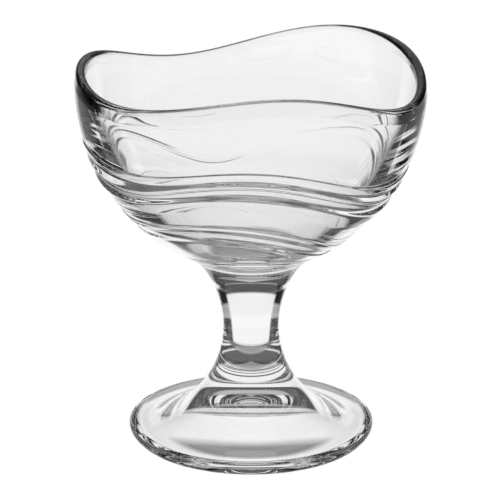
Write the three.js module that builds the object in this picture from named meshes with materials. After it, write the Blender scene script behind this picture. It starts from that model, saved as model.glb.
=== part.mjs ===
// Footed dessert glass in clear pressed glass.
//
// A round bowl with a wavy lip and two pairs of wavy ledges stands on a waisted solid stem
// and a round foot that is hollowed underneath. The three pieces are fused end to end on
// flat round faces, as stemware is, and the outside runs on smoothly across both joints.
//
// Millimetres, +Z up, origin at the centre of the ring that the foot stands on.
// The mould seam lies in the YZ plane: the lip is low at the front (-Y) and highest at the back.

import * as THREE from 'three';

// Foot
const FOOT_RADIUS = 35.8;
const FOOT_HEIGHT = 14;
const FOOT_EDGE_HEIGHT = 4.6;
const FOOT_EDGE_ROUND = 1.3;
const FOOT_EDGE_UNDERCUT = 2.2;
const FOOT_TOP_SLOPE_DEG = 5;
const FOOT_FLARE_REACH = 15;
const REST_RING_WIDTH = 2;
const FOOT_HOLLOW_DEPTH = 12.5;
const FOOT_HOLLOW_FULLNESS = 1.1;

// Stem
const STEM_LENGTH = 36;
const STEM_BOTTOM_RADIUS = 14.9;
const STEM_WAIST_RADIUS = 8.1;
const STEM_WAIST_UP = 19;
const STEM_TOP_RADIUS = 13.1;

// Bowl walls
const BOWL_RADIUS = 49.7;
const BOWL_DEPTH = 55.6;
const BOWL_BOSS_HEIGHT = 6;
const BOWL_BASE_THICKNESS = 6;
const BOWL_WALL_THICKNESS = 3.2;
const BOWL_INNER_FULLNESS = 1.6;

// How far a line swings up and down, by the number of waves around the bowl: the first sizes are
// those of one wave, two waves and so on. Rises are highest at the front, and leans carry the
// waves to one side.
const swing = (rises, leans) => ({ rises, leans });
const NO_SWING = swing([], []);

// Lip: a band that leans in a little, with a round top
const LIP_RISE = 3.1;
const LIP_BAND_HEIGHT = 4.2;
const LIP_ROUND_HEIGHT = 1.7;
const LIP_LEAN = 0.3;
const LIP_SWING = swing([-0.5, 2, -3.4, -0.6, 0.35], [0.2, 0.35, -0.3]);

// Wavy ledges, in two pairs, by their mean height above the stem and how far down they fade
const LEDGES = [
  { up: 14, fade: 2, swing: swing([4.6, 2.3, -1.7, -0.4], [0.4, 0.5, 0.4, 0.4]) },
  { up: 17.1, fade: 3.1, swing: swing([4.8, 2.1, -2.1, -0.5], [0.8, 0.9, 0.5, 0.3]) },
  { up: 28.6, fade: 3.8, swing: swing([4.7, 2.7, -3.6, -1], [3.7, -1.1, 0.1, 0.4]) },
  { up: 34.3, fade: 5.7, swing: swing([4.2, 2.5, -2.3, -1.3], [2.2, -0.1, -0.4, -0.3]) },
];
const LEDGE_DEPTH = 0.45;
const LEDGE_SHOULDER = 0.4;
const LEDGE_TOP_SHARE = 0.33;
const LEDGE_ROUNDNESS = 2.2;

// Fineness of the facets
const FACETS_AROUND = 60;
const ARC_STEPS = 10;
const HOLLOW_STEPS = 18;
const BLEND_STEPS = 5;
const ROUND_STEPS = 3;
const INNER_WALL_STEPS = 12;
const LEDGE_FADE_STEPS = 4;
const PLAIN_WALL_STEPS = 3;

// Heights and radii that follow from the sizes above
const bowlJoint = FOOT_HEIGHT + STEM_LENGTH;
const stemWaist = FOOT_HEIGHT + STEM_WAIST_UP;
const bowlBelt = bowlJoint + BOWL_DEPTH;
const bowlBossTop = bowlJoint + BOWL_BOSS_HEIGHT;
const bowlFloor = bowlJoint + BOWL_BASE_THICKNESS;
const lipCrest = bowlBelt + LIP_RISE;
const lipLedge = lipCrest - LIP_BAND_HEIGHT;
const innerRadius = BOWL_RADIUS - BOWL_WALL_THICKNESS;
const ledges = LEDGES.map((ledge) => ({ ...ledge, level: bowlJoint + ledge.up }));

// The wave at each level of the outer wall, from the plain boss up to the lip.
const lipWaves = [
  { level: lipLedge, swing: LIP_SWING },
  { level: lipCrest, swing: LIP_SWING },
];
const outerWaves = [{ level: bowlBossTop, swing: NO_SWING }, ...ledges, ...lipWaves];

// The inside is plain, so its wave only brings it up to the lip.
const innerWaves = [{ level: ledges[ledges.length - 1].level, swing: NO_SWING }, ...lipWaves];

// A profile point, with its distance from the axis and its height.
const at = (radius, height) => new THREE.Vector2(radius, height);

// The circle through a waist and an end point, level at the waist.
function neckArc(waistRadius, endRadius, rise) {
  const widening = endRadius - waistRadius;
  const radius = (rise * rise + widening * widening) / (2 * widening);
  const slope = Math.abs(rise) / (radius - widening);
  const radiusAt = (fromWaist) =>
    waistRadius + radius - Math.sqrt(radius * radius - fromWaist * fromWaist);
  return { slope, radiusAt };
}

const lowerNeck = neckArc(STEM_WAIST_RADIUS, STEM_BOTTOM_RADIUS, STEM_WAIST_UP);
const upperNeck = neckArc(STEM_WAIST_RADIUS, STEM_TOP_RADIUS, STEM_LENGTH - STEM_WAIST_UP);

// The outside of the bowl is one arc from the axis at the joint to an upright belt below the lip.
const bowlArcReach = (BOWL_DEPTH * BOWL_DEPTH) / BOWL_RADIUS;
const bowlArcRadius = (bowlArcReach + BOWL_RADIUS) / 2;
const bowlArcOffset = (bowlArcReach - BOWL_RADIUS) / 2;

function outerWall(height) {
  const below = Math.max(bowlBelt - height, 0);
  return Math.sqrt(bowlArcRadius * bowlArcRadius - below * below) - bowlArcOffset;
}

function outerWallSlope(height) {
  return (bowlBelt - height) / (outerWall(height) + bowlArcOffset);
}

// The inside is round at the bottom, straighter than a half ellipsoid higher up, and upright
// above the same belt.
function innerWall(height) {
  const share = Math.max(bowlBelt - height, 0) / (bowlBelt - bowlFloor);
  return innerRadius * Math.sqrt(Math.max(1 - share ** BOWL_INNER_FULLNESS, 0));
}

// How far the ledges stand out of the wall: a short shoulder below each line, a plain top and
// then a round return that is steepest where it ends.
function relief(level) {
  let depth = 0;
  for (const ledge of ledges) {
    const below = ledge.level - level;
    if (below > 0 && below < ledge.fade) {
      const top = LEDGE_TOP_SHARE * ledge.fade;
      const share = Math.max(below - top, 0) / (ledge.fade - top);
      const rising = THREE.MathUtils.smoothstep(below, 0, LEDGE_SHOULDER);
      depth += LEDGE_DEPTH * rising * (1 - share ** LEDGE_ROUNDNESS);
    }
  }
  return depth;
}

// The point where two sloping lines of a profile cross, with slopes in radius per height.
function crossing(a, slopeA, b, slopeB) {
  const height = (b.x - a.x + slopeA * a.y - slopeB * b.y) / (slopeA - slopeB);
  return at(a.x + slopeA * (height - a.y), height);
}

// A smooth blend that leaves one point and meets the other along the given slopes.
function blend(from, fromSlope, to, toSlope, steps) {
  const corner = crossing(from, fromSlope, to, toSlope);
  return new THREE.QuadraticBezierCurve(from, corner, to).getPoints(steps);
}

function footProfile() {
  const topSlope = -1 / Math.tan(THREE.MathUtils.degToRad(FOOT_TOP_SLOPE_DEG));
  const ringOuter = FOOT_RADIUS - FOOT_EDGE_UNDERCUT;
  const ringInner = ringOuter - REST_RING_WIDTH;
  const edgeTop = at(FOOT_RADIUS - FOOT_EDGE_ROUND, FOOT_EDGE_HEIGHT);
  const widest = at(FOOT_RADIUS, FOOT_EDGE_HEIGHT - FOOT_EDGE_ROUND);
  const flareEnd = at(STEM_BOTTOM_RADIUS + FOOT_FLARE_REACH, 0);
  flareEnd.y = edgeTop.y + (flareEnd.x - edgeTop.x) / topSlope;
  const joint = at(STEM_BOTTOM_RADIUS, FOOT_HEIGHT);

  // The hollow is bell shaped: level at the axis, steepest halfway and level at the ring.
  const hollow = [];
  for (let step = 0; step < HOLLOW_STEPS; step += 1) {
    const share = step / HOLLOW_STEPS;
    const turn = Math.PI * share ** FOOT_HOLLOW_FULLNESS;
    hollow.push(at(ringInner * share, (FOOT_HOLLOW_DEPTH * (1 + Math.cos(turn))) / 2));
  }
  const underEdge = new THREE.QuadraticBezierCurve(
    at(ringOuter, 0), at(FOOT_RADIUS, widest.y / 2), widest);
  const overEdge = new THREE.QuadraticBezierCurve(
    widest, at(FOOT_RADIUS, FOOT_EDGE_HEIGHT), edgeTop);
  return [
    ...hollow,
    at(ringInner, 0),
    ...underEdge.getPoints(ROUND_STEPS),
    ...overEdge.getPoints(ROUND_STEPS).slice(1),
    ...blend(flareEnd, topSlope, joint, -lowerNeck.slope, ARC_STEPS),
    at(0, FOOT_HEIGHT),
  ];
}

function stemProfile() {
  const side = [];
  for (let step = 0; step <= ARC_STEPS; step += 1) {
    const fromWaist = STEM_LENGTH * (step / ARC_STEPS) - STEM_WAIST_UP;
    const neck = fromWaist < 0 ? lowerNeck : upperNeck;
    side.push(at(neck.radiusAt(fromWaist), stemWaist + fromWaist));
  }
  return [at(0, FOOT_HEIGHT), ...side, at(0, bowlJoint)];
}

// The levels at which the outer wall has a row of facets, upwards from the boss.
function wallLevels() {
  const levels = [];
  const spread = (low, high) => {
    for (let step = 1; step <= PLAIN_WALL_STEPS; step += 1) {
      levels.push(low + ((high - low) * step) / (PLAIN_WALL_STEPS + 1));
    }
  };
  let reached = bowlBossTop;
  for (const ledge of ledges) {
    const foot = ledge.level - ledge.fade;
    if (foot - reached > LEDGE_SHOULDER) {
      spread(reached, foot);
      levels.push(foot);
    }
    const shoulder = ledge.level - LEDGE_SHOULDER;
    for (let step = 1; step <= LEDGE_FADE_STEPS; step += 1) {
      levels.push(foot + ((shoulder - foot) * step) / LEDGE_FADE_STEPS);
    }
    levels.push(ledge.level - LEDGE_SHOULDER / 2, ledge.level);
    reached = ledge.level;
  }
  spread(reached, lipLedge);
  return levels;
}

function lipRound(halfWidth, middle) {
  const shoulder = lipCrest - LIP_ROUND_HEIGHT;
  const steps = 2 * ROUND_STEPS;
  const points = [];
  for (let step = 0; step <= steps; step += 1) {
    const turn = (Math.PI * step) / steps;
    points.push(at(middle + halfWidth * Math.cos(turn), shoulder + LIP_ROUND_HEIGHT * Math.sin(turn)));
  }
  return points;
}

function bowlProfile() {
  const joint = at(STEM_TOP_RADIUS, bowlJoint);
  const bossTop = at(outerWall(bowlBossTop), bowlBossTop);
  const boss = blend(joint, upperNeck.slope, bossTop, outerWallSlope(bowlBossTop), BLEND_STEPS);
  const wall = wallLevels().map((level) => at(outerWall(level) + relief(level), level));
  const bandRadius = outerWall(lipLedge) - LIP_LEAN;
  const lip = lipRound((bandRadius - innerRadius) / 2, (bandRadius + innerRadius) / 2);
  const outside = [
    at(0, bowlJoint),
    ...boss,
    ...wall,
    at(outerWall(lipLedge), lipLedge),
    ...lip.slice(0, ROUND_STEPS + 1),
  ];
  const inside = lip.slice(ROUND_STEPS + 1);
  for (let step = 0; step <= INNER_WALL_STEPS; step += 1) {
    const turn = (Math.PI / 2) * (step / INNER_WALL_STEPS);
    const height = bowlFloor + (lipLedge - bowlFloor) * (1 - Math.sin(turn));
    inside.push(at(innerWall(height), height));
  }
  return { outside, inside };
}

// The rise of a line at a turn about the axis from the front.
function swingAt({ rises, leans }, turn) {
  const rise = rises.reduce((sum, size, order) => sum + size * Math.cos((order + 1) * turn), 0);
  return leans.reduce((sum, size, order) => sum + size * Math.sin((order + 1) * turn), rise);
}

// The rise of a point of the bowl, between the lines above and below its level.
function waveAt(waves, level, turn) {
  let above = waves.findIndex((row) => row.level > level);
  if (above === 0) above = 1;
  if (above < 0) above = waves.length - 1;
  const low = waves[above - 1];
  const high = waves[above];
  const share = THREE.MathUtils.clamp((level - low.level) / (high.level - low.level), 0, 1);
  return THREE.MathUtils.lerp(swingAt(low.swing, turn), swingAt(high.swing, turn), share);
}

// Slides the rows of a revolved bowl up and down along its walls, so that they follow the waves.
function waveBowl(geometry, outsideRows, rows) {
  const position = geometry.getAttribute('position');
  for (let index = 0; index < position.count; index += 1) {
    const isOutside = index % rows < outsideRows;
    const wall = isOutside ? outerWall : innerWall;
    const radius = Math.hypot(position.getX(index), position.getZ(index));
    const level = position.getY(index);
    if (level > bowlBossTop) {
      const turn = Math.atan2(position.getX(index), position.getZ(index));
      const height = level + waveAt(isOutside ? outerWaves : innerWaves, level, turn);
      const moved = radius + wall(height) - wall(level);
      position.setXYZ(index, moved * Math.sin(turn), height, moved * Math.cos(turn));
    }
  }
}

function revolve(profile) {
  return new THREE.LatheGeometry(profile, FACETS_AROUND);
}

function revolveBowl() {
  const { outside, inside } = bowlProfile();
  const geometry = revolve([...outside, ...inside]);
  waveBowl(geometry, outside.length, outside.length + inside.length);
  return geometry;
}

// Clear colourless glass, with the smooth skin that fire polishing leaves.
function clearGlass() {
  return new THREE.MeshStandardMaterial({
    color: 0xf3f6f6, roughness: 0.03, metalness: 0, transparent: true, opacity: 0.35,
  });
}

// A named piece, turned from the lathe's upright Y axis to +Z.
function piece(name, geometry) {
  const mesh = new THREE.Mesh(geometry.rotateX(Math.PI / 2), clearGlass());
  mesh.name = name;
  return mesh;
}

const dessertGlass = new THREE.Group();
dessertGlass.add(piece('foot', revolve(footProfile())));
dessertGlass.add(piece('stem', revolve(stemProfile())));
dessertGlass.add(piece('bowl', revolveBowl()));

export default dessertGlass;
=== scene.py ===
"""A footed dessert glass in clear pressed glass, on a white light table in a tent of soft light."""

import logging
import math
from abc import ABC, abstractmethod
from dataclasses import dataclass, field
from enum import Enum
from itertools import pairwise

import bmesh
import bpy
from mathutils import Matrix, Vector


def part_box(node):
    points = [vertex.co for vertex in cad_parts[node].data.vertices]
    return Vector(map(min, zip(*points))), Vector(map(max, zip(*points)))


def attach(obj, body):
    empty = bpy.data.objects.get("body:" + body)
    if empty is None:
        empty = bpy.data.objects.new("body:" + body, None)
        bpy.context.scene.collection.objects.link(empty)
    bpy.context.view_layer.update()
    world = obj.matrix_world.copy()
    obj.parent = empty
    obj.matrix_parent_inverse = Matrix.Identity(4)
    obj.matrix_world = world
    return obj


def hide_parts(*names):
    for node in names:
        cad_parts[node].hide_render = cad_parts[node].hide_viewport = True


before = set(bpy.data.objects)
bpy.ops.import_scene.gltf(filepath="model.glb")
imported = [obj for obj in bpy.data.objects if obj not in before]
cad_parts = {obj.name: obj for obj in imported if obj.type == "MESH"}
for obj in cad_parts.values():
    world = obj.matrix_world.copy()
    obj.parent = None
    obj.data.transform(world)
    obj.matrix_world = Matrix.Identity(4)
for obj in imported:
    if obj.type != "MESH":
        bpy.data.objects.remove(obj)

LOG = logging.getLogger("dessert_glass")
BODY = "root"

# All sizes below are in millimetres, and Blender's unit is the metre.
MM = 0.001

# The camera's turn about the axis, from the front of the glass.
PHOTO_AZIMUTH = math.radians(47.4)

# Light that runs on inside the wall only stripes the sides, so it's dropped after so many turns.
LIGHT_BOUNCES = 12

# The spans, in degrees, of elevations and of turns to either side.
ELEVATIONS = (-90, 90)
TURNS = (0, 180)

WHITE = (1, 1, 1, 1)

# A profile is a list of points, each a distance from the axis and a height.
Point = tuple[float, float]
Profile = list[Point]

# The stops of a ramp of light are pairs of an angle in degrees and a brightness.
Stops = tuple[tuple[float, float], ...]


def linear(colour: str) -> tuple[float, float, float, float]:
    """Turn an sRGB hex colour into linear RGBA.

    Args:
        colour: The colour as "#RRGGBB".

    Returns:
        Linear red, green, blue and an alpha of one.
    """
    shares = [int(colour[start:start + 2], 16) / 255 for start in (1, 3, 5)]
    values = [s / 12.92 if s <= 0.04045 else ((s + 0.055) / 1.055) ** 2.4 for s in shares]
    return (values[0], values[1], values[2], 1.0)


def add_node(tree: bpy.types.NodeTree, kind: str, settings: dict | None = None,
             links: dict | None = None) -> bpy.types.Node:
    """Add a shader node with its settings and links.

    Args:
        tree: The node tree to add to.
        kind: The node's type name.
        settings: Values by socket name, or by attribute name with a leading dot.
        links: Output sockets by the name or number of the input that they feed.

    Returns:
        The new node.
    """
    node = tree.nodes.new(kind)
    for name, value in (settings or {}).items():
        if str(name).startswith("."):
            setattr(node, name[1:], value)
        else:
            node.inputs[name].default_value = value
    for name, output in (links or {}).items():
        tree.links.new(output, node.inputs[name])
    return node


def new_material(name: str) -> bpy.types.Material:
    """Return a new material with an empty node tree.

    Args:
        name: The material's name.

    Returns:
        The new material.
    """
    material = bpy.data.materials.new(name)
    material.use_nodes = True
    material.node_tree.nodes.clear()
    return material


def held(share: float) -> float:
    """Return a share, held between zero and one."""
    return min(max(share, 0.0), 1.0)


def smooth_share(value: float, low: float, high: float) -> float:
    """Return how far a value has come from low to high, eased at both ends."""
    share = held((value - low) / (high - low))
    return share * share * (3 - 2 * share)


def spread(low: float, high: float, steps: int) -> list[float]:
    """Return evenly spaced values after low, up to and with high."""
    return [low + (high - low) * step / steps for step in range(1, steps + 1)]


def bend(start: Point, corner: Point, end: Point, steps: int) -> Profile:
    """Return a smooth bend that leaves start towards corner and meets end from it.

    Args:
        start: The first point.
        corner: The point where the two end tangents cross.
        end: The last point.
        steps: The number of straight steps.

    Returns:
        The points of the bend, both ends among them.
    """
    points = []
    for share in [0.0, *spread(0, 1, steps)]:
        near, middle, far = (1 - share) ** 2, 2 * share * (1 - share), share ** 2
        points.append((near * start[0] + middle * corner[0] + far * end[0],
                       near * start[1] + middle * corner[1] + far * end[1]))
    return points


def crossing(first: Point, first_slope: float, second: Point, second_slope: float) -> Point:
    """Return where two sloping lines of a profile cross.

    Args:
        first: A point of the first line.
        first_slope: Its widening per height.
        second: A point of the second line.
        second_slope: Its widening per height.

    Returns:
        The point that both lines share.
    """
    lean = first_slope * first[1] - second_slope * second[1]
    height = (second[0] - first[0] + lean) / (first_slope - second_slope)
    return (first[0] + first_slope * (height - first[1]), height)


class Face(Enum):
    """The two kinds of face on a piece, by material slot."""

    OUTSIDE = 0
    JOINT = 1


@dataclass(frozen=True)
class PressedGlass:
    """Clear soda-lime glass, pressed in an iron mould and fire polished.

    It is colourless and mirror smooth, and the chill of the mould leaves a faint ripple that
    bends what is seen through it.
    """

    colour: str = "#FEFEFE"
    ior: float = 1.52
    roughness: float = 0.0
    ripple_spacing: float = 14.0
    ripple_depth: float = 0.012

    def material(self) -> bpy.types.Material:
        """Make the glass, with its ripple.

        Returns:
            The new material.
        """
        material = new_material("clear_pressed_glass")
        tree = material.node_tree
        place = add_node(tree, "ShaderNodeTexCoord")
        ripple = add_node(tree, "ShaderNodeTexNoise",
                          {"Scale": 1 / (self.ripple_spacing * MM), "Detail": 1.0},
                          {"Vector": place.outputs["Object"]})
        bump = add_node(tree, "ShaderNodeBump",
                        {"Strength": 1.0, "Distance": self.ripple_depth * MM},
                        {"Height": ripple.outputs["Fac"]})
        glass = add_node(tree, "ShaderNodeBsdfPrincipled",
                         {"Base Color": linear(self.colour), "IOR": self.ior,
                          "Roughness": self.roughness, "Transmission Weight": 1.0},
                         {"Normal": bump.outputs["Normal"]})
        add_node(tree, "ShaderNodeOutputMaterial", None, {"Surface": glass.outputs["BSDF"]})
        return material


@dataclass(frozen=True)
class FusedJoint:
    """The plane inside the glass where two pieces are fused, which can't be seen."""

    def material(self) -> bpy.types.Material:
        """Make the clear plane.

        Returns:
            The new material.
        """
        material = new_material("fused_joint")
        tree = material.node_tree
        clear = add_node(tree, "ShaderNodeBsdfPrincipled", {"Alpha": 0.0})
        add_node(tree, "ShaderNodeOutputMaterial", None, {"Surface": clear.outputs["BSDF"]})
        return material


@dataclass
class GlassPiece(ABC):
    """A closed piece of glass, revolved about the axis from its profile."""

    name: str
    joints: tuple[float, ...]
    wedges: int = 16
    wedge_steps: int = 16
    weld: float = 0.0005
    sharp_angle: float = math.radians(50)
    piece: bpy.types.Object | None = field(default=None, init=False)

    @abstractmethod
    def profile(self) -> Profile:
        """Return the outline from the axis, along the outside, and back to the axis."""

    def shape(self, mesh: bmesh.types.BMesh) -> None:
        """Move the revolved vertices where the piece isn't round."""

    def is_joint(self, face: bmesh.types.BMFace) -> bool:
        """Return whether a face lies in one of the piece's fused joints."""
        heights = [vert.co.z / MM for vert in face.verts]
        return any(all(abs(h - joint) < self.weld for h in heights) for joint in self.joints)

    def build(self) -> bpy.types.Object:
        """Revolve the profile into a closed mesh that stands for the CAD node.

        Returns:
            The new piece.
        """
        mesh = bmesh.new()
        verts = [mesh.verts.new((radius * MM, 0, height * MM)) for radius, height in self.profile()]
        edges = [mesh.edges.new(pair) for pair in pairwise(verts)]
        wedge = 2 * math.pi / self.wedges
        bmesh.ops.spin(mesh, geom=verts + edges, cent=(0, 0, 0), axis=(0, 0, 1),
                       angle=wedge, steps=self.wedge_steps)
        bmesh.ops.spin(mesh, geom=[*mesh.verts, *mesh.edges, *mesh.faces], cent=(0, 0, 0),
                       axis=(0, 0, 1), angle=2 * math.pi - wedge, steps=self.wedges - 1,
                       use_duplicate=True)
        bmesh.ops.remove_doubles(mesh, verts=mesh.verts, dist=self.weld * MM)
        bmesh.ops.recalc_face_normals(mesh, faces=mesh.faces)
        self.shape(mesh)
        for face in mesh.faces:
            face.smooth = True
            face.material_index = (Face.JOINT if self.is_joint(face) else Face.OUTSIDE).value
        data = bpy.data.meshes.new(self.name)
        mesh.to_mesh(data)
        mesh.free()
        data.set_sharp_from_angle(angle=self.sharp_angle)
        self.piece = bpy.data.objects.new(self.name, data)
        bpy.context.scene.collection.objects.link(self.piece)
        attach(self.piece, BODY)
        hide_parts(self.name.removesuffix("_glass"))
        return self.piece

    def dress(self, glass: bpy.types.Material, joint: bpy.types.Material) -> None:
        """Give the outside its glass and the fused joints their clear plane."""
        self.piece.data.materials.append(glass)
        self.piece.data.materials.append(joint)


@dataclass
class Stem(GlassPiece):
    """The solid waisted stem."""

    bottom_height: float = 14.0
    top_height: float = 50.0
    bottom_radius: float = 14.9
    waist_radius: float = 8.1
    waist_up: float = 19.0
    top_radius: float = 13.1
    rows: int = 90

    @property
    def waist_height(self) -> float:
        """Return the height of the narrowest place."""
        return self.bottom_height + self.waist_up

    def neck(self, end_radius: float, rise: float) -> float:
        """Return the radius of the arc from the waist to an end."""
        widening = end_radius - self.waist_radius
        return (rise * rise + widening * widening) / (2 * widening)

    @property
    def lower_neck(self) -> float:
        """Return the radius of the arc below the waist."""
        return self.neck(self.bottom_radius, self.waist_up)

    @property
    def upper_neck(self) -> float:
        """Return the radius of the arc above the waist."""
        return self.neck(self.top_radius, self.top_height - self.waist_height)

    def arc(self, height: float) -> tuple[float, float]:
        """Return a height's rise above the waist and the radius of the arc that it lies on."""
        rise = height - self.waist_height
        return rise, self.lower_neck if rise < 0 else self.upper_neck

    def radius(self, height: float) -> float:
        """Return the stem's radius at a height."""
        rise, neck = self.arc(height)
        return self.waist_radius + neck - math.sqrt(neck * neck - rise * rise)

    def slope(self, height: float) -> float:
        """Return how fast the stem widens with height."""
        rise, neck = self.arc(height)
        return rise / math.sqrt(neck * neck - rise * rise)

    def profile(self) -> Profile:
        """Draw the outline from the bottom joint to the top one.

        Returns:
            The points of the outline.
        """
        heights = [self.bottom_height, *spread(self.bottom_height, self.top_height, self.rows)]
        side = [(self.radius(height), height) for height in heights]
        return [(0.0, self.bottom_height), *side, (0.0, self.top_height)]


@dataclass
class Foot(GlassPiece):
    """The round foot, flared into the stem above and hollowed below."""

    stem: Stem | None = None
    radius: float = 35.8
    edge_height: float = 4.6
    edge_round: float = 1.3
    edge_undercut: float = 2.2
    top_slope: float = math.radians(5)
    flare_reach: float = 15.0
    ring_width: float = 2.0
    hollow_depth: float = 12.5
    hollow_fullness: float = 1.1
    rows: int = 60
    edge_rows: int = 10

    def hollow(self, ring: float) -> Profile:
        """Return the bell shaped hollow, from the axis to the inside of the ring.

        Args:
            ring: The inside radius of the ring that the foot stands on.

        Returns:
            The points of the bell, without the one on the ring.
        """
        radii = [0.0, *spread(0, ring, self.rows)][:-1]
        turns = [math.pi * (radius / ring) ** self.hollow_fullness for radius in radii]
        return [(radius, self.hollow_depth * (1 + math.cos(turn)) / 2)
                for radius, turn in zip(radii, turns)]

    def profile(self) -> Profile:
        """Draw the outline from the hollow, round the edge and up the flare.

        Returns:
            The points of the outline.
        """
        fall = -1 / math.tan(self.top_slope)
        ring_outer = self.radius - self.edge_undercut
        ring_inner = ring_outer - self.ring_width
        widest = (self.radius, self.edge_height - self.edge_round)
        edge_top = (self.radius - self.edge_round, self.edge_height)
        flare_radius = self.stem.bottom_radius + self.flare_reach
        flare_end = (flare_radius, edge_top[1] + (flare_radius - edge_top[0]) / fall)
        joint = (self.stem.bottom_radius, self.stem.bottom_height)
        corner = crossing(flare_end, fall, joint, self.stem.slope(self.stem.bottom_height))
        under = bend((ring_outer, 0.0), (self.radius, widest[1] / 2), widest, self.edge_rows)
        over = bend(widest, (self.radius, self.edge_height), edge_top, self.edge_rows)
        flare = bend(flare_end, corner, joint, self.rows)
        return [*self.hollow(ring_inner), (ring_inner, 0.0), *under, *over[1:], *flare,
                (0.0, self.stem.bottom_height)]


@dataclass(frozen=True)
class Swing:
    """How far a line of the bowl swings, by the number of waves around the bowl.

    The first sizes are those of one wave, two waves and so on. Rises are highest at the front,
    and leans carry the waves to one side.
    """

    rises: tuple[float, ...] = ()
    leans: tuple[float, ...] = ()

    def at(self, turn: float) -> float:
        """Return the line's rise at a turn about the axis from the front."""
        return (sum(size * math.cos(waves * turn) for waves, size in enumerate(self.rises, 1))
                + sum(size * math.sin(waves * turn) for waves, size in enumerate(self.leans, 1)))


@dataclass(frozen=True)
class Line:
    """A line that the ledges follow, by its mean height above the stem."""

    up: float
    swing: Swing


@dataclass(frozen=True)
class Ledge:
    """One ledge, by the mean height of its top above the stem.

    From the top a ramp leads down and out to the ledge's depth, and below it the ledge fades back
    into the wall.
    """

    up: float
    ramp: float
    depth: float
    fade: float


def lift(waves: list[tuple[float, Swing]], level: float, turn: float) -> float:
    """Return how far the waves lift a point of a wall.

    Args:
        waves: The swings of the wall's levels.
        level: The point's height on the revolved bowl.
        turn: Its turn about the axis from the front.

    Returns:
        The rise, in millimetres.
    """
    spans = list(pairwise(waves))
    lower, upper = next((span for span in spans if level < span[1][0]), spans[-1])
    share = held((level - lower[0]) / (upper[0] - lower[0]))
    return (1 - share) * lower[1].at(turn) + share * upper[1].at(turn)


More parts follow.
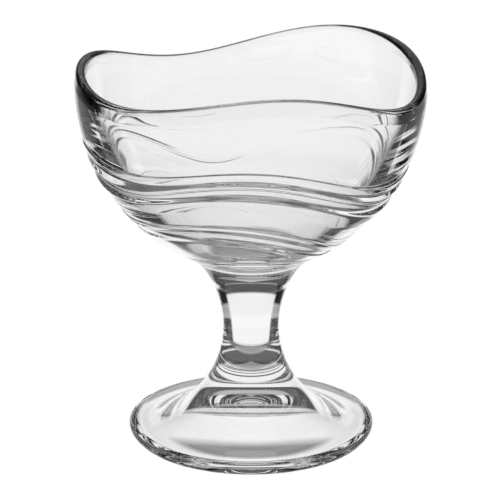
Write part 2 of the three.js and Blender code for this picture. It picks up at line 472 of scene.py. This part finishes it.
@dataclass
class Bowl(GlassPiece):
    """The round bowl with its wavy lip and its two groups of wavy ledges."""

    stem: Stem | None = None
    radius: float = 49.7
    depth: float = 55.6
    boss_height: float = 6.0
    base_thickness: float = 6.0
    wall_thickness: float = 3.2
    inner_fullness: float = 1.6
    inner_roundness: float = 2.0
    lip_rise: float = 3.1
    lip_band_height: float = 4.2
    lip_round_height: float = 1.7
    lip_lean: float = 0.3
    lines: tuple[Line, ...] = (
        Line(14.0, Swing((4.6, 2.3, -1.7, -0.4), (0.4, 0.5, 0.4, 0.4))),
        Line(17.1, Swing((4.8, 2.1, -2.1, -0.5), (0.8, 0.9, 0.5, 0.3))),
        Line(28.6, Swing((4.7, 2.7, -3.6, -1.0), (3.7, -1.1, 0.1, 0.4))),
        Line(34.3, Swing((4.2, 2.5, -2.3, -1.3), (2.2, -0.1, -0.4, -0.3))))
    ledges: tuple[Ledge, ...] = (
        Ledge(13.4, 1.0, 0.4, 2.5), Ledge(16.6, 1.5, 0.35, 0.7), Ledge(17.1, 0.4, 0.25, 0.8),
        Ledge(27.5, 2.3, 0.8, 3.2), Ledge(28.9, 0.4, 0.3, 0.9), Ledge(32.3, 2.6, 0.6, 0.9),
        Ledge(34.9, 0.4, 0.32, 2.0))
    ledge_roundness: float = 1.5
    lip_swing: Swing = Swing((-0.5, 2.0, -3.4, -0.6, 0.35), (0.2, 0.35, -0.3))
    boss_rows: int = 24
    plain_row: float = 0.5
    ledge_row: float = 0.15
    lip_rows: int = 20
    inner_rows: int = 60

    @property
    def joint(self) -> float:
        """Return the height of the joint with the stem."""
        return self.stem.top_height

    @property
    def belt(self) -> float:
        """Return the height at which the walls turn upright."""
        return self.joint + self.depth

    @property
    def boss_top(self) -> float:
        """Return the height at which the boss has run into the wall."""
        return self.joint + self.boss_height

    @property
    def floor(self) -> float:
        """Return the height of the inside at the axis."""
        return self.joint + self.base_thickness

    @property
    def inner_radius(self) -> float:
        """Return the inside radius at the belt."""
        return self.radius - self.wall_thickness

    @property
    def crest(self) -> float:
        """Return the mean height of the lip."""
        return self.belt + self.lip_rise

    @property
    def lip_ledge(self) -> float:
        """Return the mean height of the ledge under the lip."""
        return self.crest - self.lip_band_height

    def arc(self) -> tuple[float, float]:
        """Return the radius of the outside's arc and how far its centre lies past the axis."""
        reach = self.depth * self.depth / self.radius
        return (reach + self.radius) / 2, (reach - self.radius) / 2

    def outer_wall(self, height: float) -> float:
        """Find the outside radius at a height, without the ledges.

        Args:
            height: The height, in millimetres.

        Returns:
            The radius.
        """
        arc, offset = self.arc()
        below = max(self.belt - height, 0.0)
        return math.sqrt(arc * arc - below * below) - offset

    def outer_slope(self, height: float) -> float:
        """Return how fast the outside widens with height."""
        return (self.belt - height) / (self.outer_wall(height) + self.arc()[1])

    def inner_wall(self, height: float) -> float:
        """Return the inside radius at a height."""
        share = held((self.belt - height) / (self.belt - self.floor))
        return self.inner_radius * (1 - share ** self.inner_fullness) ** (1 / self.inner_roundness)

    def relief(self, level: float) -> float:
        """Add up how far the ledges stand out of the wall at a level.

        Args:
            level: The height on the revolved bowl.

        Returns:
            The ledges' depth there.
        """
        depth = 0.0
        for ledge in self.ledges:
            below = self.joint + ledge.up - level
            fading = held((below - ledge.ramp) / ledge.fade)
            rising = smooth_share(below, 0, ledge.ramp)
            depth += ledge.depth * rising * (1 - fading ** self.ledge_roundness)
        return depth

    def wall_levels(self) -> list[float]:
        """Space the rows of the outside, closely on the ledges.

        Returns:
            The rows' levels, upwards from the boss.
        """
        levels = []
        reached = self.boss_top
        for ledge in sorted(self.ledges, key=lambda ledge: ledge.up):
            top = self.joint + ledge.up
            foot = max(top - ledge.ramp - ledge.fade, reached)
            for low, high, row in ((reached, foot, self.plain_row), (foot, top, self.ledge_row)):
                levels += spread(low, high, math.ceil((high - low) / row))
            reached = top
        rows = math.ceil((self.lip_ledge - reached) / self.plain_row)
        return levels + spread(reached, self.lip_ledge, rows)

    def boss(self) -> Profile:
        """Draw the boss, from the joint with the stem to where it has run into the wall.

        Returns:
            The points of the boss.
        """
        joint = (self.stem.top_radius, self.joint)
        top = (self.outer_wall(self.boss_top), self.boss_top)
        corner = crossing(joint, self.stem.slope(self.joint), top, self.outer_slope(self.boss_top))
        return bend(joint, corner, top, self.boss_rows)

    def lip(self) -> Profile:
        """Draw the lip, from the ledge under it and over its round edge to the inside.

        Returns:
            The points of the lip.
        """
        widest = self.outer_wall(self.lip_ledge)
        shoulder = self.crest - self.lip_round_height
        lean = [(widest - self.lip_lean * share,
                 self.lip_ledge + (shoulder - self.lip_ledge) * share)
                for share in spread(0, 1, self.lip_rows)]
        band = widest - self.lip_lean
        half, middle = (band - self.inner_radius) / 2, (band + self.inner_radius) / 2
        edge = [(middle + half * math.cos(turn), shoulder + self.lip_round_height * math.sin(turn))
                for turn in spread(0, math.pi, self.lip_rows)]
        return lean + edge

    def inside(self) -> Profile:
        """Draw the inside, from under the lip down to the axis.

        Returns:
            The points of the inside.
        """
        dips = [0.0, *spread(0, math.pi / 2, self.inner_rows)]
        drop = self.lip_ledge - self.floor
        heights = [self.floor + drop * (1 - math.sin(dip)) for dip in dips]
        return [(self.inner_wall(height), height) for height in heights]

    def profile(self) -> Profile:
        """Draw the outline up the outside, over the lip and down the inside.

        Returns:
            The points of the outline.
        """
        levels = self.wall_levels()
        wall = [(self.outer_wall(level) + self.relief(level), level) for level in levels]
        return [(0.0, self.joint), *self.boss(), *wall, *self.lip(), *self.inside()]

    def waves(self, outside: bool) -> list[tuple[float, Swing]]:
        """Return the swing of each level that has one of its own, from the lowest up.

        Args:
            outside: Whether the levels are those of the outside.

        Returns:
            Pairs of a level and its swing.
        """
        lip = [(self.lip_ledge, self.lip_swing), (self.crest, self.lip_swing)]
        rows = [(self.joint + line.up, line.swing) for line in self.lines]
        if not outside:
            return [(rows[-1][0], Swing()), *lip]
        return [(self.boss_top, Swing()), *rows, *lip]

    def shape(self, mesh: bmesh.types.BMesh) -> None:
        """Slide the rows of the walls up and down along them, so that they follow the waves.

        Args:
            mesh: The revolved bowl.
        """
        waves = {outside: self.waves(outside) for outside in (True, False)}
        for vert in mesh.verts:
            level = vert.co.z / MM
            if level <= self.boss_top:
                continue
            radius = math.hypot(vert.co.x, vert.co.y) / MM
            turn = math.atan2(vert.co.x, -vert.co.y)
            outside = radius > (self.outer_wall(level) + self.inner_wall(level)) / 2
            wall = self.outer_wall if outside else self.inner_wall
            height = level + lift(waves[outside], level, turn)
            moved = (radius + wall(height) - wall(level)) * MM
            vert.co = (moved * math.sin(turn), -moved * math.cos(turn), height * MM)


@dataclass
class PhotoCamera:
    """The camera of the photograph, by its place round the glass."""

    azimuth: float = PHOTO_AZIMUTH
    distance: float = 644.0
    height: float = 258.6
    pitch: float = math.radians(17.485)
    yaw: float = math.radians(0.027)
    focal_pixels: float = 2343.0
    frame_pixels: float = 500.0
    sensor: float = 36.0
    nearest: float = 10.0
    farthest: float = 50000.0

    def build(self) -> None:
        """Make the camera and hand it to the scene."""
        data = bpy.data.cameras.new("photo_camera")
        data.sensor_width = self.sensor
        data.lens = self.sensor * self.focal_pixels / self.frame_pixels
        data.clip_start = self.nearest * MM
        data.clip_end = self.farthest * MM
        camera = bpy.data.objects.new("photo_camera", data)
        bpy.context.scene.collection.objects.link(camera)
        back = Vector((math.sin(self.azimuth), -math.cos(self.azimuth), 0))
        camera.location = (back * self.distance + Vector((0, 0, self.height))) * MM
        heading = self.azimuth + self.yaw
        ahead = Vector((-math.sin(heading), math.cos(heading), 0))
        aim = ahead * math.cos(self.pitch) - Vector((0, 0, math.sin(self.pitch)))
        camera.rotation_mode = "QUATERNION"
        camera.rotation_quaternion = aim.to_track_quat("-Z", "Y")
        bpy.context.scene.camera = camera


@dataclass(frozen=True)
class Zone:
    """A part of the tent, beyond a turn from behind the glass to either side.

    It takes over between its first and its full turn, and has its own brightness by elevation.
    """

    first: float
    full: float
    upwards: Stops


@dataclass
class Studio:
    """A white glowing table top, and a round tent of soft light that only the glass shows.

    The tent is bright behind the glass and in front of it. Beside it stand dark cards, which give
    the clear glass its dark edges.
    """

    table_radius: float = 6000.0
    table_sides: int = 96
    table_drop: float = 0.1
    glow: float = 1.0
    tent_radius: float = 320.0
    tent_height: float = 55.0
    tent_rings: int = 64
    tent_azimuth: float = PHOTO_AZIMUTH
    behind: Stops = ((-43, 0.3), (-37, 0.95), (8, 0.95), (11, 0.1), (26, 0.1), (32, 0.5))
    beside: Zone = Zone(31, 35.5, (
        (-47, 0.08), (-42, 0.02), (-28, 0.06), (-24.5, 0.14), (-23, 0.01), (-16.5, 0.01),
        (-14.5, 0.45), (-2, 0.45), (1, 0.01), (26, 0.01), (32, 0.08)))
    before: Zone = Zone(72, 80, (
        (-43, 0.1), (-37, 0.92), (2, 0.92), (6, 0.03), (26, 0.03), (32, 0.1)))

    def build(self) -> None:
        """Make the table top, the tent and the pale room beyond."""
        top = bmesh.new()
        bmesh.ops.create_circle(top, cap_ends=True, segments=self.table_sides,
                                radius=self.table_radius * MM)
        bmesh.ops.translate(top, verts=top.verts, vec=(0, 0, -self.table_drop * MM))
        table = self.stage("light_table", top, self.table_light())
        table.visible_transmission = False
        table.visible_glossy = False
        cloth = bmesh.new()
        bmesh.ops.create_uvsphere(cloth, u_segments=2 * self.tent_rings, v_segments=self.tent_rings,
                                  radius=self.tent_radius * MM)
        bmesh.ops.translate(cloth, verts=cloth.verts, vec=(0, 0, self.tent_height * MM))
        tent = self.stage("light_tent", cloth, self.tent_light())
        tent.visible_camera = False
        self.room()

    @staticmethod
    def stage(name: str, mesh: bmesh.types.BMesh, light: bpy.types.Material) -> bpy.types.Object:
        """Make a glowing piece of the studio, which isn't part of the glass.

        Args:
            name: The piece's name.
            mesh: Its shape, which is used up.
            light: Its material.

        Returns:
            The new piece.
        """
        data = bpy.data.meshes.new(name)
        mesh.to_mesh(data)
        mesh.free()
        data.materials.append(light)
        piece = bpy.data.objects.new(name, data)
        bpy.context.scene.collection.objects.link(piece)
        return piece

    def table_light(self) -> bpy.types.Material:
        """Make the even glow of the table's white acrylic.

        Returns:
            The new material.
        """
        material = new_material("white_acrylic")
        tree = material.node_tree
        light = add_node(tree, "ShaderNodeEmission", {"Color": WHITE, "Strength": self.glow})
        add_node(tree, "ShaderNodeOutputMaterial", None, {"Surface": light.outputs["Emission"]})
        return material

    def room(self) -> None:
        """Fill the room beyond the table with plain white light."""
        world = bpy.data.worlds.new("studio")
        bpy.context.scene.world = world
        world.use_nodes = True
        tree = world.node_tree
        tree.nodes.clear()
        light = add_node(tree, "ShaderNodeBackground", {"Color": WHITE, "Strength": self.glow})
        add_node(tree, "ShaderNodeOutputWorld", None, {"Surface": light.outputs["Background"]})

    @staticmethod
    def ramp(tree: bpy.types.NodeTree, angle: bpy.types.NodeSocket,
             span: tuple[float, float], stops: Stops) -> bpy.types.NodeSocket:
        """Add a ramp of brightness over an angle.

        Args:
            tree: The light's node tree.
            angle: The angle, in radians.
            span: The angles of the ramp's two ends, in degrees.
            stops: The ramp's stops.

        Returns:
            The socket that gives the brightness.
        """
        low, high = span
        share = add_node(tree, "ShaderNodeMapRange",
                         {"From Min": math.radians(low), "From Max": math.radians(high)},
                         {"Value": angle})
        ramp = add_node(tree, "ShaderNodeValToRGB", None, {"Fac": share.outputs["Result"]})
        elements = ramp.color_ramp.elements
        elements.remove(elements[1])
        for number, (degrees, value) in enumerate(stops):
            place = (degrees - low) / (high - low)
            element = elements[0] if number == 0 else elements.new(place)
            element.position = place
            element.color = (value, value, value, 1)
        return ramp.outputs["Color"]

    def angles(self, tree: bpy.types.NodeTree) -> tuple[bpy.types.NodeSocket, bpy.types.NodeSocket]:
        """Add the angles of a point of the tent, seen from its middle.

        Args:
            tree: The light's node tree.

        Returns:
            The sockets that give its turn from behind the glass and its elevation, in radians.
        """
        place = add_node(tree, "ShaderNodeTexCoord")
        turned = add_node(tree, "ShaderNodeMapping",
                          {"Location": (0, 0, -self.tent_height * MM),
                           "Rotation": (0, 0, -self.tent_azimuth)},
                          {"Vector": place.outputs["Object"]})
        outwards = add_node(tree, "ShaderNodeVectorMath", {".operation": "NORMALIZE"},
                            {"Vector": turned.outputs["Vector"]})
        parts = add_node(tree, "ShaderNodeSeparateXYZ", None,
                         {"Vector": outwards.outputs["Vector"]})
        turn = add_node(tree, "ShaderNodeMath", {".operation": "ARCTAN2"},
                        {0: parts.outputs["X"], 1: parts.outputs["Y"]})
        side = add_node(tree, "ShaderNodeMath", {".operation": "ABSOLUTE"}, {0: turn.outputs[0]})
        rise = add_node(tree, "ShaderNodeMath", {".operation": "ARCSINE"}, {0: parts.outputs["Z"]})
        return side.outputs[0], rise.outputs[0]

    def tent_light(self) -> bpy.types.Material:
        """Make the glow of the tent's white cloth, dark on the cards.

        Returns:
            The new material.
        """
        material = new_material("white_tent_cloth")
        tree = material.node_tree
        side, rise = self.angles(tree)
        shade = self.ramp(tree, rise, ELEVATIONS, self.behind)
        for zone in (self.beside, self.before):
            share = self.ramp(tree, side, TURNS, ((zone.first, 0.0), (zone.full, 1.0)))
            upwards = self.ramp(tree, rise, ELEVATIONS, zone.upwards)
            mixed = add_node(tree, "ShaderNodeMixRGB", None,
                             {"Fac": share, "Color1": shade, "Color2": upwards})
            shade = mixed.outputs["Color"]
        light = add_node(tree, "ShaderNodeEmission", {"Strength": self.glow}, {"Color": shade})
        add_node(tree, "ShaderNodeOutputMaterial", None, {"Surface": light.outputs["Emission"]})
        return material


def main() -> None:
    """Build the glass and its studio, and report each piece."""
    logging.basicConfig(level=logging.INFO, format="%(name)s: %(message)s")
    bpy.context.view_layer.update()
    bpy.context.scene.view_settings.view_transform = "Standard"
    cycles = bpy.context.scene.cycles
    cycles.max_bounces = cycles.transmission_bounces = cycles.glossy_bounces = LIGHT_BOUNCES
    stem_low, stem_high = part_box("stem")
    bottom, top = stem_low.z / MM, stem_high.z / MM
    stem = Stem("stem_glass", (bottom, top), bottom_height=bottom, top_height=top)
    foot = Foot("foot_glass", (bottom,), stem=stem)
    bowl = Bowl("bowl_glass", (top,), stem=stem)
    glass = PressedGlass().material()
    joint = FusedJoint().material()
    for part in (foot, stem, bowl):
        piece = part.build()
        part.dress(glass, joint)
        LOG.info("%s: %d faces", piece.name, len(piece.data.polygons))
    PhotoCamera().build()
    Studio().build()


if __name__ == "__main__":
    main()
